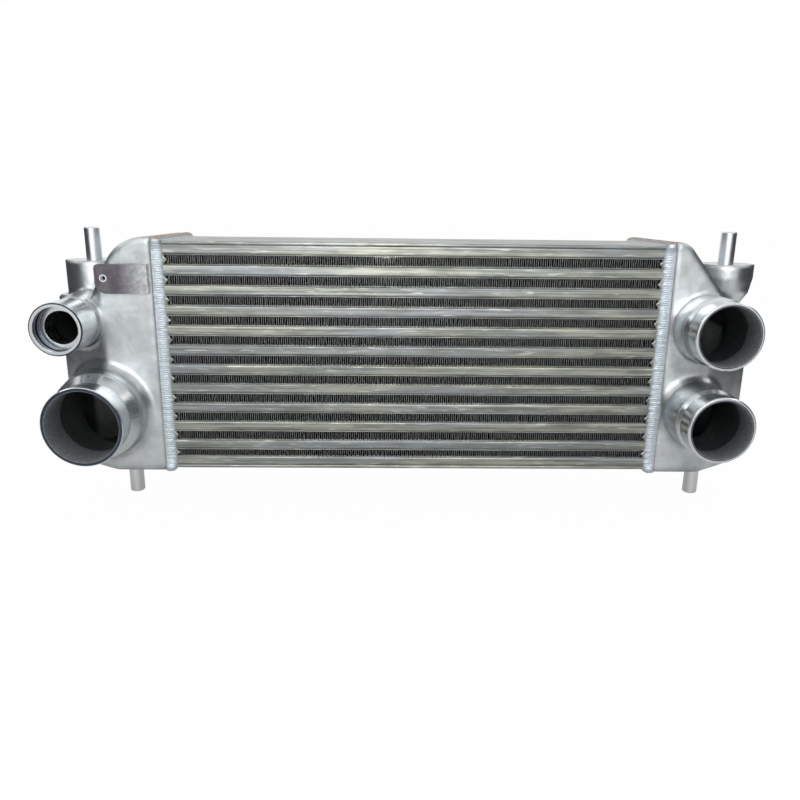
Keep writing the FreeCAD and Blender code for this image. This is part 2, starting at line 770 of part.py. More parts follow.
def right_tank(doc, sheet):
    """Casting with two boots and a bowl-shaped pin boss."""
    body = new_body(doc, "right_end_tank")
    tank_form(body, "right", sheet, "0")
    dress_casting(body, "right", sheet)
    bowl = [
        ("0", RIGHT_BOSS_TOP),
        ("dim.boss_radius", RIGHT_BOSS_TOP),
        ("dim.boss_radius", f"{RIGHT_BOSS_TOP} - dim.right_boss_skirt"),
        ("dim.right_boss_hip_radius", f"{RIGHT_BOSS_TOP} - dim.right_boss_hip"),
        ("dim.right_boss_foot_radius", f"{RIGHT_BOSS_TOP} - dim.right_boss_foot"),
        ("0", f"{RIGHT_BOSS_TOP} - dim.right_boss_foot"),
    ]
    offset = {"x": outward("right", "dim.upper_pin_out")}
    profile = outline(body, "right_boss_profile", "XZ_Plane", bowl, offset=offset)
    turned(body, "right_boss", profile)
    boot(body, "right_lower_neck")
    root = sheet.right_neck_radius + sheet.right_collar_rise
    bevel_edges(body, "right_lower_neck_root", root_edges(sheet, "right_lower_neck", root),
                "dim.right_boot_root")
    # The upper boot breaks through the shoulder's edge, so its root stays sharp.
    boot(body, "right_upper_neck")
    joint_cut(body, "right")
    hollow(body, "right", sheet)
    lower_boss(body, "right")
    boot_bore(body, "right_upper_neck")
    boot_bore(body, "right_lower_neck")
    pin_hole(body, "upper_right_pin", "right", "dim.upper_pin_out", RIGHT_BOSS_TOP,
             "dim.upper_pin_grip", False)
    pin_hole(body, "lower_right_pin", "right", "dim.lower_right_pin_out", "-dim.rim_stand",
             "dim.lower_pin_grip", True)
    return settle(body)


def locating_pin(doc, label, side, out, seat, grip, stand, upward):
    """Shouldered dowel: a chamfered free end, and a spigot bonded in its boss."""
    body = new_body(doc, label)
    away = "+" if upward else "-"
    back = "-" if upward else "+"
    corners = [
        ("0", f"{seat} {back} {grip}"),
        ("dim.pin_spigot_radius", f"{seat} {back} {grip}"),
        ("dim.pin_spigot_radius", seat),
        ("dim.pin_radius", seat),
        ("dim.pin_radius", f"{seat} {away} ({stand} - dim.pin_chamfer)"),
        ("dim.pin_radius - dim.pin_chamfer", f"{seat} {away} {stand}"),
        ("0", f"{seat} {away} {stand}"),
    ]
    profile = outline(body, f"{label}_profile", "XZ_Plane", corners, offset={"x": outward(side, out)})
    turned(body, f"{label}_turning", profile)
    return body


def tab_bracket(doc, sheet):
    """Tapped tab in front of the left tank, on a foot that is welded to the tank's face."""
    body = new_body(doc, "tab_bracket")
    near_end = outward("left", "dim.tab_inset")
    foot_end = outward("left", "dim.tab_inset + dim.tab_foot")
    far_end = outward("left", "dim.tab_inset + dim.tab_length")
    top = f"{CORE_HEIGHT} - dim.tab_drop"
    low = f"{top} - dim.tab_height"
    face = f"{TANK_DEPTH} / 2"
    front = f"-({face} + dim.tab_standoff + dim.tab_gauge)"
    back = f"-({face} + dim.tab_standoff)"
    corners = [
        (near_end, front),
        (far_end, front),
        (far_end, back),
        (foot_end, back),
        (foot_end, f"-{face}"),
        (near_end, f"-{face}"),
    ]
    section = outline(body, "tab_section", "XY_Plane", corners, offset={"z": low})
    pad(body, "tab_plate", section, "dim.tab_height")
    end_x = -(sheet.core_length / 2 + sheet.tab_inset + sheet.tab_length)
    doc.recompute()
    middle = body.Tip.Shape.BoundBox.Center.z

    def far_upper(edge):
        at_end = runs_along(edge, ALONG_Y) and near(edge.Vertexes[0].X, end_x)
        return at_end and edge.Vertexes[0].Z > middle

    def far_lower(edge):
        at_end = runs_along(edge, ALONG_Y) and near(edge.Vertexes[0].X, end_x)
        return at_end and edge.Vertexes[0].Z < middle

    round_edges(body, "tab_upper_round", far_upper, "dim.tab_upper_radius")
    round_edges(body, "tab_lower_round", far_lower, "dim.tab_lower_radius")
    hole_offset = {
        "x": outward("left", "dim.tab_inset + dim.tab_length - dim.tab_hole_inset"),
        "y": f"{top} - dim.tab_hole_drop",
        "z": f"{face} + dim.tab_standoff + dim.tab_gauge",
    }
    hole = disc(body, "tab_hole_circle", "XZ_Plane", "dim.tab_hole_radius", offset=hole_offset)
    cut(body, "Pocket", "tab_hole", hole, "dim.tab_gauge")
    return settle(body)


def weld_bead(doc, side, sheet):
    """Bead that runs round the core in the corner below the tank's rim."""
    body = new_body(doc, f"{side}_weld_bead")
    outer = [
        (f"-({HALF_DEPTH} + dim.bead_height)", "-dim.bead_height"),
        (f"{HALF_DEPTH} + dim.bead_height", "-dim.bead_height"),
        (f"{HALF_DEPTH} + dim.bead_height", f"{CORE_HEIGHT} + dim.bead_height"),
        (f"-({HALF_DEPTH} + dim.bead_height)", f"{CORE_HEIGHT} + dim.bead_height"),
    ]
    inner = [
        (f"-{HALF_DEPTH}", "0"),
        (HALF_DEPTH, "0"),
        (HALF_DEPTH, CORE_HEIGHT),
        (f"-{HALF_DEPTH}", CORE_HEIGHT),
    ]
    plane = outward(side, "0")
    ring = outline(body, f"{side}_bead_ring", "YZ_Plane", outer, inner, offset={"z": plane})
    pad(body, f"{side}_bead_pad", ring, "dim.bead_leg", reverse=side == "right")
    toe = sheet.core_length / 2 - sheet.bead_leg
    outside = sheet.core_depth / 2 + sheet.bead_height

    def toe_edge(edge):
        at_toe = all(near(abs(vertex.X), toe) for vertex in edge.Vertexes)
        box_ = edge.BoundBox
        on_side = near(abs(box_.Center.y), outside)
        on_ends = near(box_.Center.z, -sheet.bead_height) or near(box_.YLength, 2 * outside)
        return at_toe and (on_side or on_ends)

    round_edges(body, f"{side}_bead_round", toe_edge, "dim.bead_round")
    return settle(body)


class Readings:
    """Plain numbers read back from the sheet, by alias."""

    def __init__(self, sheet):
        self.sheet = sheet

    def value(self, alias):
        return float(self.sheet.get(alias))

    def __getattr__(self, alias):
        return self.value(alias)


def build(doc):
    """Every sub-part of the intercooler, in the order of its assembly."""
    sheet = Readings(add_sheet(doc))
    nodes = side_plates(doc)
    nodes.append(parting_sheets(doc))
    for channel in range(1, CHARGE_CHANNELS + 1):
        nodes.append(closing_bar(doc, "front", channel, sheet))
        nodes.append(closing_bar(doc, "rear", channel, sheet))
    nodes.append(nose_bars(doc, "left"))
    nodes.append(nose_bars(doc, "right"))
    nodes.extend(ambient_fins(doc))
    nodes.append(turbulators(doc))
    nodes.append(left_tank(doc, sheet))
    nodes.append(right_tank(doc, sheet))
    necks = [hose_neck(doc, name) for name in ("left_neck", "right_upper_neck", "right_lower_neck")]
    nodes.append(group(doc, "hose_necks", necks + [port_ring(doc)]))
    uppers = [locating_pin(doc, f"upper_{side}_pin", side, "dim.upper_pin_out", top,
                           "dim.upper_pin_grip", "dim.upper_pin_stand", True)
              for side, top in (("left", LEFT_BOSS_TOP), ("right", RIGHT_BOSS_TOP))]
    nodes.append(group(doc, "upper_locating_pins", uppers))
    lowers = [locating_pin(doc, f"lower_{side}_pin", side, f"dim.lower_{side}_pin_out", "-dim.rim_stand",
                           "dim.lower_pin_grip", "dim.lower_pin_stand", False)
              for side in ("left", "right")]
    nodes.append(group(doc, "lower_locating_pins", lowers))
    nodes.append(tab_bracket(doc, sheet))
    nodes.append(weld_bead(doc, "left", sheet))
    nodes.append(weld_bead(doc, "right", sheet))
    doc.recompute()
    return nodes


def check(doc, nodes):
    """Stop if any object failed or any sub-part has no valid shape."""
    for item in doc.Objects:
        if "Invalid" in item.State or "Error" in item.State:
            raise RuntimeError(f"{item.Label} failed: {item.State}")
    for node in nodes:
        if node.Shape.isNull() or not node.Shape.isValid():
            raise RuntimeError(f"{node.Label} has no valid shape")


def main():
    doc = FreeCAD.newDocument("intercooler")
    nodes = build(doc)
    check(doc, nodes)
    os.makedirs("parts", exist_ok=True)
    for node in nodes:
        node.Shape.exportStep(os.path.join("parts", f"{node.Label}.step"))
        print(f"{node.Label}: {len(node.Shape.Solids)} solid(s), {node.Shape.Volume / 1000:.2f} cm3")
    print(f"{len(nodes)} nodes")


main()
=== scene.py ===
"""Looks of a bar-and-plate intercooler: corrugated fins, weld beads, metal finishes, stage."""
import json
import math
import random

import bmesh
import bpy
from bpy.props import FloatProperty, FloatVectorProperty, IntProperty, PointerProperty
from mathutils import Matrix, Vector, noise


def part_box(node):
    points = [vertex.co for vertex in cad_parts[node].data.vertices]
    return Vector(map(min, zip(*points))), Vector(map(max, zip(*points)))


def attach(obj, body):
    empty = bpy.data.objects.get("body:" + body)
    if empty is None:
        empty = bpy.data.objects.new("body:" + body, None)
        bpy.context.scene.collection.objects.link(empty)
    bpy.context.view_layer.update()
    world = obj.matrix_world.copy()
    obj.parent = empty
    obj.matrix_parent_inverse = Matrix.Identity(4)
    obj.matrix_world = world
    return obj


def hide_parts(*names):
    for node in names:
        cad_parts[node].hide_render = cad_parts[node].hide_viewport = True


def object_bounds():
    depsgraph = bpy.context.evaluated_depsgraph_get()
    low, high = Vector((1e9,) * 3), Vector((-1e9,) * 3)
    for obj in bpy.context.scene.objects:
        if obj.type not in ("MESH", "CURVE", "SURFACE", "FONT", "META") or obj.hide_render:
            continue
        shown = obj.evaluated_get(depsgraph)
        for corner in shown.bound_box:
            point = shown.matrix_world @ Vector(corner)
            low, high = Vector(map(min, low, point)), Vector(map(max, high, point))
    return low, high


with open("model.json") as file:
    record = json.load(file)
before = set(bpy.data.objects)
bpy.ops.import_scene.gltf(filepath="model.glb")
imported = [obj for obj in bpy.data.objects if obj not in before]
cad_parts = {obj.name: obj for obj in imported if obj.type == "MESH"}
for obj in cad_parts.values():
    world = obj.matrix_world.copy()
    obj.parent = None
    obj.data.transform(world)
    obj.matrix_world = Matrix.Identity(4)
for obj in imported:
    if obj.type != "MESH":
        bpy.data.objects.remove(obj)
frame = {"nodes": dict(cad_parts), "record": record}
cad_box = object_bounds()
nodes = frame["nodes"]

bl_info = {
    "name": "Intercooler looks",
    "version": (1, 0, 0),
    "blender": (4, 5, 0),
    "location": "3D View > Sidebar > Intercooler",
    "description": "Fins, weld beads, finishes, light and camera for a packed intercooler",
    "category": "Object",
}

MM = 0.001

# Sides of the core in the part's frame, read from the nodes that carry the fins and the beads.
SHEET_LOW, SHEET_HIGH = (Vector(corner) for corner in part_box("parting_sheets"))
PLATE_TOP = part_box("top_side_plate")[1][2]
PLATE_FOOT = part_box("bottom_side_plate")[0][2]
FIN_ROWS = sorted(name for name in nodes if name.startswith("ambient_fin_row_"))
MOUNTS = {mount["name"]: mount for mount in frame["record"]["mounts"]}
NECKS = [MOUNTS[name] for name in ("left_neck", "right_upper_neck", "right_lower_neck")]
PORT = MOUNTS["quick_fit_port"]
# Middle of the floor and of the cloths, along the core.
STAGE_MIDDLE = 0.3
# Roughness of cast skin that no blasting has reached, in the air spaces and the bores.
CAST_SKIN = 0.85
# Settings that several nodes share.
COLOUR_MIX = {"data_type": "RGBA"}
PRODUCT = {"operation": "MULTIPLY"}
LARGER = {"operation": "MAXIMUM"}


def linear(code):
    """An sRGB hex code as the linear colour that shaders take."""
    channels = [int(code[start:start + 2], 16) / 255 for start in (1, 3, 5)]
    return tuple(c / 12.92 if c <= 0.04045 else ((c + 0.055) / 1.055) ** 2.4 for c in channels)


def colour(name, description, code):
    """Colour setting whose default is an sRGB hex code."""
    return FloatVectorProperty(name=name, description=description, subtype="COLOR", size=3,
                               min=0.0, max=1.0, default=linear(code))


def length(name, description, millimetres):
    """Length setting whose default is given in millimetres."""
    return FloatProperty(name=name, description=description, default=millimetres * MM,
                         min=0.0, unit="LENGTH", precision=5)


class FinSizes(bpy.types.PropertyGroup):
    leg_pitch: length("Leg pitch", "Distance from one upright leg of a fin to the next", 2.2)
    gauge: length("Gauge", "Thickness of the fin sheet", 0.3)
    nose_taper: length("Nose taper", "How far a nose bar's V reaches into its row", 4.6)
    lance: length("Lance", "Depth of one offset strip at the front and the rear", 12.0)
    braze_fill: FloatProperty(name="Braze fill", subtype="FACTOR", default=0.5, min=0.0, max=0.9,
                              description="Share of the V's depth that braze has filled")
    sway: length("Sway", "How far handling has pushed a leg sideways", 0.4)
    seed: IntProperty(name="Seed", description="Picks which legs are bent", default=7, min=0)


class BeadSizes(bpy.types.PropertyGroup):
    ripple: length("Ripple", "Spacing of the puddle marks along the weld", 2.3)
    relief: length("Relief", "Depth of a puddle mark", 0.5)
    reach: length("Reach", "Width of the bead on the core", 11.0)
    height: length("Height", "Height of the bead against the tank", 2.7)
    blob: length("Blob", "Extra height where a run starts and stops at a corner", 2.0)


class FinishColours(bpy.types.PropertyGroup):
    cast_light: colour("Casting, light", "Blasted casting where it is clean", "#DADEDF")
    cast_dark: colour("Casting, dark", "Blasted casting in its cloudy patches", "#B0B5B7")
    heat_tint: colour("Heat tint", "Brown bloom on the rims beside the upper welds", "#94775F")
    # Dark skin in the bores' random pits, and the colour of painted shade in hollows, corners and
    # the bores' depth.
    dark_skin_and_shade: colour("Sheltered", "Skin of the casting in its hollows, barely blasted", "#3A3D40")
    bore: colour("Bore", "As-cast inside of the necks", "#D2D6D8")
    turned: colour("Turned", "Freshly turned aluminium of the necks", "#D6DADC")
    # Painted on forward-facing lip faces and as a line at the bores' edge; in the port's clip
    # groove it is painted shade.
    lip: colour("Lip", "Sawn front lip of the necks, stained dark", "#434C59")
    bar_warm: colour("Bar, warm", "Extruded bar with a cream flux bloom", "#ADAEA2")
    bar_cool: colour("Bar, cool", "Extruded bar where it is clean", "#989DA1")
    bar_dark: colour("Bar, dark", "Extruded bar in its drawn streaks", "#777A75")
    flux: colour("Flux", "White flux residue on the bars", "#E2E2DA")
    fin_edge: colour("Fin edge", "Sheared front edges of the fins", "#B0B2B0")
    # Nearly black: painted shade on the fins further in from the cut edge.
    fin_painted_shade: colour("Fin depth", "Fins further in, dulled by flux", "#14171B")
    weld: colour("Weld", "Weld metal", "#BEC6CC")
    steel: colour("Pin", "Ground steel of the upper pins", "#D6DADF")
    dowel: colour("Lower pin", "Turned lower pins", "#DCDEDC")
    tab: colour("Tab", "Dark anodised tab", "#5E5661")


class StageSettings(bpy.types.PropertyGroup):
    paper: colour("Paper", "White floor and backdrop", "#FFFFFF")
    key_power: FloatProperty(name="Key", description="Large soft lamp above and in front",
                             default=21.0, min=0.0, unit="POWER")
    fill_power: FloatProperty(name="Fill", description="Soft lamps at both sides",
                              default=3.0, min=0.0, unit="POWER")
    sky: FloatProperty(name="Sky", description="Even light from all round", default=0.7, min=0.0)
    table: colour("Table", "Pale grey of the paper where lamps light it", "#C4C5C6")
    cloth: colour("Cloth", "Dark cloths at both sides, which the metal reflects", "#444648")
    cloth_height: length("Cloth height", "Height of the cloths above the floor", 1100.0)


def place_mesh(name, bm, finish):
    """Object in the scene with the shape of a bmesh and one finish."""
    mesh = bpy.data.meshes.new(name)
    bm.to_mesh(mesh)
    bm.free()
    mesh.materials.append(finish)
    placed = bpy.data.objects.new(name, mesh)
    bpy.context.scene.collection.objects.link(placed)
    return placed


def make_piece(name, bm, finish, stands_for=()):
    """Turn a bmesh into a piece that rides on the core and carries one finish."""
    piece = place_mesh(name, bm, finish)
    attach(piece, "root")
    if stands_for:
        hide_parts(*stands_for)


def fin_path(low, high, first_leg, pitch, sway, rng, bent):
    """Corrugated line across a row, as (x, z) points: up a leg, across a crest, down the next."""
    lean_spread, belly_spread = 0.35, 0.5
    points = []
    x = low.x + first_leg
    rising = True
    while x < high.x:
        lean = rng.gauss(0, lean_spread) * sway
        belly = rng.gauss(0, belly_spread) * sway
        ends = [(x - lean, low.z), (x + lean, high.z)]
        if bent:
            share = rng.uniform(0.35, 0.65)
            ends.insert(1, (x + belly, low.z + share * (high.z - low.z)))
        points.extend(ends if rising else reversed(ends))
        rising = not rising
        x += pitch
    return points


def nested_paths(low, high, sizes):
    """Short legs above and below each nose bar's V, as (x, z) points."""
    first_leg = 0.3 * sizes.leg_pitch
    middle = (low.z + high.z) / 2
    legs = int(sizes.nose_taper * (1 - sizes.braze_fill) / sizes.leg_pitch)
    paths = []
    for edge, outward in ((low.x, -1), (high.x, 1)):
        for level in (low.z, high.z):
            points = []
            for leg in range(legs):
                reach = first_leg + leg * sizes.leg_pitch
                slope = middle + (level - middle) * (reach / sizes.nose_taper)
                slope += math.copysign(sizes.gauge, level - middle)
                x = edge + outward * reach
                ends = [(x, slope), (x, level)]
                points.extend(ends if leg % 2 else reversed(ends))
            paths.append(points)
    return paths


def close_tube(bm, rings):
    """Faces between rings of four corners, and one over each end."""
    for ring, following in zip(rings, rings[1:]):
        for corner in range(4):
            after = (corner + 1) % 4
            bm.faces.new((ring[corner], following[corner], following[after], ring[after]))
    bm.faces.new(rings[0])
    bm.faces.new(reversed(rings[-1]))


def add_strip(bm, points, gauge, front, rear):
    """Sheet of the given gauge that follows (x, z) points and runs from front to rear."""
    # Limits how far the corner of a sharp bend stands out.
    sharpest = 0.5
    rings = []
    for index, (x, z) in enumerate(points):
        before = Vector(points[max(index - 1, 0)])
        after = Vector(points[min(index + 1, len(points) - 1)])
        here = Vector((x, z))
        incoming = (here - before).normalized() if index else (after - here).normalized()
        outgoing = (after - here).normalized() if index < len(points) - 1 else incoming
        normal = Vector((-(incoming.y + outgoing.y), incoming.x + outgoing.x))
        normal.normalize()
        across = Vector((-incoming.y, incoming.x))
        offset = normal * (gauge / 2) / max(normal.dot(across), sharpest)
        ring = []
        for y, side in ((front, 1), (front, -1), (rear, -1), (rear, 1)):
            ring.append(bm.verts.new((x + side * offset.x, y, z + side * offset.y)))
        rings.append(ring)
    close_tube(bm, rings)


def bead_ring(low, high, spacing):
    """Points, outward directions and corner distances round the core's end, front first."""
    corner_steps = 6
    corners = [Vector((low.y, low.z)), Vector((low.y, high.z)),
               Vector((high.y, high.z)), Vector((high.y, low.z))]
    outward = [Vector((-1, 0)), Vector((0, 1)), Vector((1, 0)), Vector((0, -1))]
    ring = []
    for side in range(4):
        start = corners[side]
        end = corners[(side + 1) % 4]
        span = (end - start).length
        steps = int(span / spacing)
        following = outward[(side + 1) % 4]
        for step in range(steps):
            along = span * step / steps
            point = start + (end - start) * step / steps
            ring.append((point, outward[side], min(along, span - along)))
        for step in range(corner_steps):
            turn = step / corner_steps * math.pi / 2
            direction = outward[side] * math.cos(turn) + following * math.sin(turn)
            ring.append((end, direction, 0.0))
    return ring


def bead_section(sizes, travelled, corner, away):
    """(reach, height) points across a bead, from the tank's rim to its thin edge on the core."""
    steps = 12
    # How far a puddle mark bows back, how far the lump at a start reaches along the run, and how
    # deep the bead's foot sits in the core.
    bow, start_length, sunk = 2.2 * MM, 5.0 * MM, 0.2 * MM
    swell = sizes.blob * math.exp(-(corner / start_length) ** 2)
    points = []
    for step in range(steps + 1):
        t = step / steps
        fade = math.sin(math.pi * min(t * 0.9 + 0.1, 1.0)) ** 0.5
        # Each mark swells slowly and ends in a step. The spacing wanders along the run.
        wander = 0.25 * noise.noise(Vector((travelled * 120, max(away, 0), 3.1)))
        phase = (travelled + bow * (2 * t - 1) ** 2) / sizes.ripple + wander
        mark = (phase % 1.0) ** 1.6 - 0.4
        uneven = 1 + 0.09 * noise.noise(Vector((travelled * 300, away, t)))
        height = sizes.height * (1 - t ** 3.0) ** 0.8 * uneven
        height += sizes.relief * mark * fade + swell * fade
        reach = sizes.reach * uneven * (1 + 0.04 * mark)
        points.append((reach * t, max(height, 0.0) - sunk))
    return points


class INTERCOOLER_OT_fins(bpy.types.Operator):
    """Offset strip fins in the eleven rows that the outside air passes through"""
    bl_idname = "intercooler.fins"
    bl_label = "Corrugated fins"

    def execute(self, context):
        sizes = context.scene.intercooler_fins
        sheet = rolled_fin_sheet(context.scene.intercooler_finish)
        for number, row in enumerate(FIN_ROWS):
            rng = random.Random(sizes.seed * 100 + number)
            low, high = (Vector(corner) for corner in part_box(row))
            low.z += sizes.gauge / 2
            high.z -= sizes.gauge / 2
            cuts = [low.y, low.y + sizes.lance, low.y + 2 * sizes.lance,
                    high.y - 2 * sizes.lance, high.y - sizes.lance, high.y]
            bm = bmesh.new()
            for strip, (front, rear) in enumerate(zip(cuts, cuts[1:])):
                # Every other strip is set over by half a pitch. The third is long and hidden,
                # and its legs stay straight.
                shift = sizes.leg_pitch * (0.25 + 0.5 * (strip % 2))
                bent = strip != 2
                path = fin_path(low, high, shift, sizes.leg_pitch, sizes.sway, rng, bent)
                add_strip(bm, path, sizes.gauge, front, rear)
                for nested in nested_paths(low, high, sizes):
                    add_strip(bm, nested, sizes.gauge, front, rear)
            make_piece(f"fins_{row[-2:]}", bm, sheet, [row])
        return {"FINISHED"}


class INTERCOOLER_OT_braze(bpy.types.Operator):
    """Braze that has filled the corners beside each nose bar's V"""
    bl_idname = "intercooler.braze"
    bl_label = "Braze fillets"

    def execute(self, context):
        sizes = context.scene.intercooler_fins
        depth = sizes.nose_taper * sizes.braze_fill
        set_back = 0.2 * MM
        hollowed = 0.3 * MM
        ends = (SHEET_LOW.y + set_back, SHEET_HIGH.y - set_back)
        noses = ((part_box("left_nose_bars")[1][0], -1), (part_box("right_nose_bars")[0][0], 1))
        bm = bmesh.new()
        for row in FIN_ROWS:
            low, high = (Vector(corner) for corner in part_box(row))
            middle = (low.z + high.z) / 2
            for tip, outward in noses:
                shoulder = tip + outward * sizes.nose_taper
                face = shoulder - outward * depth
                for level in (low.z, high.z):
                    inner = level + (middle - level) * sizes.braze_fill
                    bend = (face + outward * hollowed, (level + inner) / 2)
                    corners = ((shoulder, level), (face, level), bend, (face, inner))
                    close_tube(bm, [[bm.verts.new((x, y, z)) for x, z in corners] for y in ends])
        bmesh.ops.recalc_face_normals(bm, faces=bm.faces)
        make_piece("braze_fillets", bm, nodes["left_nose_bars"].active_material)
        return {"FINISHED"}


class INTERCOOLER_OT_beads(bpy.types.Operator):
    """Rippled weld runs all round the joint between each tank and the core"""
    bl_idname = "intercooler.beads"
    bl_label = "Weld beads"

    def execute(self, context):
        sizes = context.scene.intercooler_beads
        metal = weld_metal(context.scene.intercooler_finish)
        low = Vector((0, SHEET_LOW.y, PLATE_FOOT))
        high = Vector((0, SHEET_HIGH.y, PLATE_TOP))
        rear = cad_box[1][1]
        for side, away in (("left", 1), ("right", -1)):
            bead_low, bead_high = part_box(f"{side}_weld_bead")
            tank = bead_low[0] if away > 0 else bead_high[0]
            bm = bmesh.new()
            rows = []
            travelled = 0.0
            last = None
            for place, outward, corner in bead_ring(low, high, sizes.ripple / 4):
                if last is not None:
                    travelled += (place - last).length
                last = place
                row = []
                for reach, height in bead_section(sizes, travelled, corner, away):
                    spot = place + outward * height
                    row.append(bm.verts.new((tank + away * reach, min(spot.x, rear), spot.y)))
                rows.append(row)
            for row, following in zip(rows, rows[1:] + rows[:1]):
                for step in range(len(row) - 1):
                    face = (row[step], following[step], following[step + 1], row[step + 1])
                    bm.faces.new(face if away > 0 else reversed(face)).smooth = True
            make_piece(f"{side}_weld_run", bm, metal, [f"{side}_weld_bead"])
        return {"FINISHED"}


class INTERCOOLER_OT_thread(bpy.types.Operator):
    """Cut thread inside the hole of the tab"""
    bl_idname = "intercooler.thread"
    bl_label = "Tapped hole"

    def execute(self, context):
        hole = MOUNTS["tab_thread"]
        centre = Vector(hole["pos_m"])
        radius = hole["dims"]["r_mm"] * MM
        depth = hole["dims"]["length_mm"] * MM
        pitch = 1.0 * MM
        steps_a_turn = 28
        set_in = 0.3 * pitch
        # One crest between two roots, as (along the axis, from the radius) in millimetres.
        profile = ((-0.35, 0.0), (0.0, -0.42), (0.35, 0.0))
        bm = bmesh.new()
        rows = []
        steps = int(depth / pitch) * steps_a_turn
        for step in range(steps + 1):
            turn = step / steps_a_turn * 2 * math.pi
            y = centre.y + (depth - pitch) * (step / steps) + set_in
            row = []
            for lift, reach in profile:
                r = radius + reach * MM
                spot = (centre.x + r * math.cos(turn), y + lift * MM, centre.z + r * math.sin(turn))
                row.append(bm.verts.new(spot))
            rows.append(row)
        for row, following in zip(rows, rows[1:]):
            for step in range(2):
                bm.faces.new((row[step], row[step + 1], following[step + 1], following[step]))
        make_piece("tab_thread_cut", bm,
                   bare_tapped_metal(context.scene.intercooler_finish))
        return {"FINISHED"}


def add(tree, kind, settings=None, **sockets):
    """Add a node, apply its settings and fill its sockets with values or links.

    A socket goes by its name, or by an underscore and its number. A mix takes the share of its
    second value as _0, two numbers as _2 and _3, and two colours as _6 and _7.
    """
    node = tree.nodes.new(kind)
    for key, value in (settings or {}).items():
        setattr(node, key, value)
    for name, source in sockets.items():
        place = int(name[1:]) if name[1:].isdigit() else name.replace("_", " ")
        if isinstance(source, bpy.types.NodeSocket):
            tree.links.new(source, node.inputs[place])
        else:
            node.inputs[place].default_value = source
    return node


def empty_tree(holder):
    """Node tree of a material or a world, with nothing in it yet."""
    holder.use_nodes = True
    holder.node_tree.nodes.clear()
    return holder.node_tree


def new_finish(name, **sockets):
    """Material with one Principled shader whose plain values are set on its own sockets."""
    material = bpy.data.materials.new(name)
    tree = empty_tree(material)
    shader = add(tree, "ShaderNodeBsdfPrincipled", **sockets)
    add(tree, "ShaderNodeOutputMaterial", Surface=shader.outputs[0])
    place = add(tree, "ShaderNodeTexCoord").outputs["Object"]
    return material, tree, shader, place


def opaque(rgb):
    """A colour with full alpha, as a colour socket takes it."""
    return (*rgb, 1.0)


def every(millimetres):
    """Scale at which one mark of a pattern measures so many millimetres."""
    return 1 / (millimetres * MM)


def unshaded_share(tree, closed, clear):
    """0 in air spaces and hollows, found by ambient occlusion, to 1 on outer faces: painted shade
    in colours, the rough skin of the mould in roughness.
    """
    shelter = add(tree, "ShaderNodeAmbientOcclusion", {"samples": 6}, Distance=0.12)
    return add(tree, "ShaderNodeMapRange", Value=shelter.outputs["AO"],
               From_Min=closed, From_Max=clear, To_Min=0.0, To_Max=1.0).outputs[0]


def round_mounts(tree, place, *rings):
    """1 inside any of the rings, 0 elsewhere.

    A ring is a mount and two distances from the mount's own radius, in millimetres.
    """
    spot = add(tree, "ShaderNodeSeparateXYZ", Vector=place)
    level = add(tree, "ShaderNodeCombineXYZ", _0=spot.outputs[0], _2=spot.outputs[2])
    mask = 0.0
    for mount, inner, outer in rings:
        axis = (mount["pos_m"][0], 0.0, mount["pos_m"][2])
        reach = add(tree, "ShaderNodeVectorMath", {"operation": "DISTANCE"},
                    _0=level.outputs[0], _1=axis)
        ring = add(tree, "ShaderNodeMath", {"operation": "COMPARE"}, _0=reach.outputs["Value"],
                   _1=(mount["dims"]["r_mm"] + (inner + outer) / 2) * MM,
                   _2=(outer - inner) / 2 * MM)
        mask = add(tree, "ShaderNodeMath", LARGER, _0=mask, _1=ring.outputs[0]).outputs[0]
    return mask


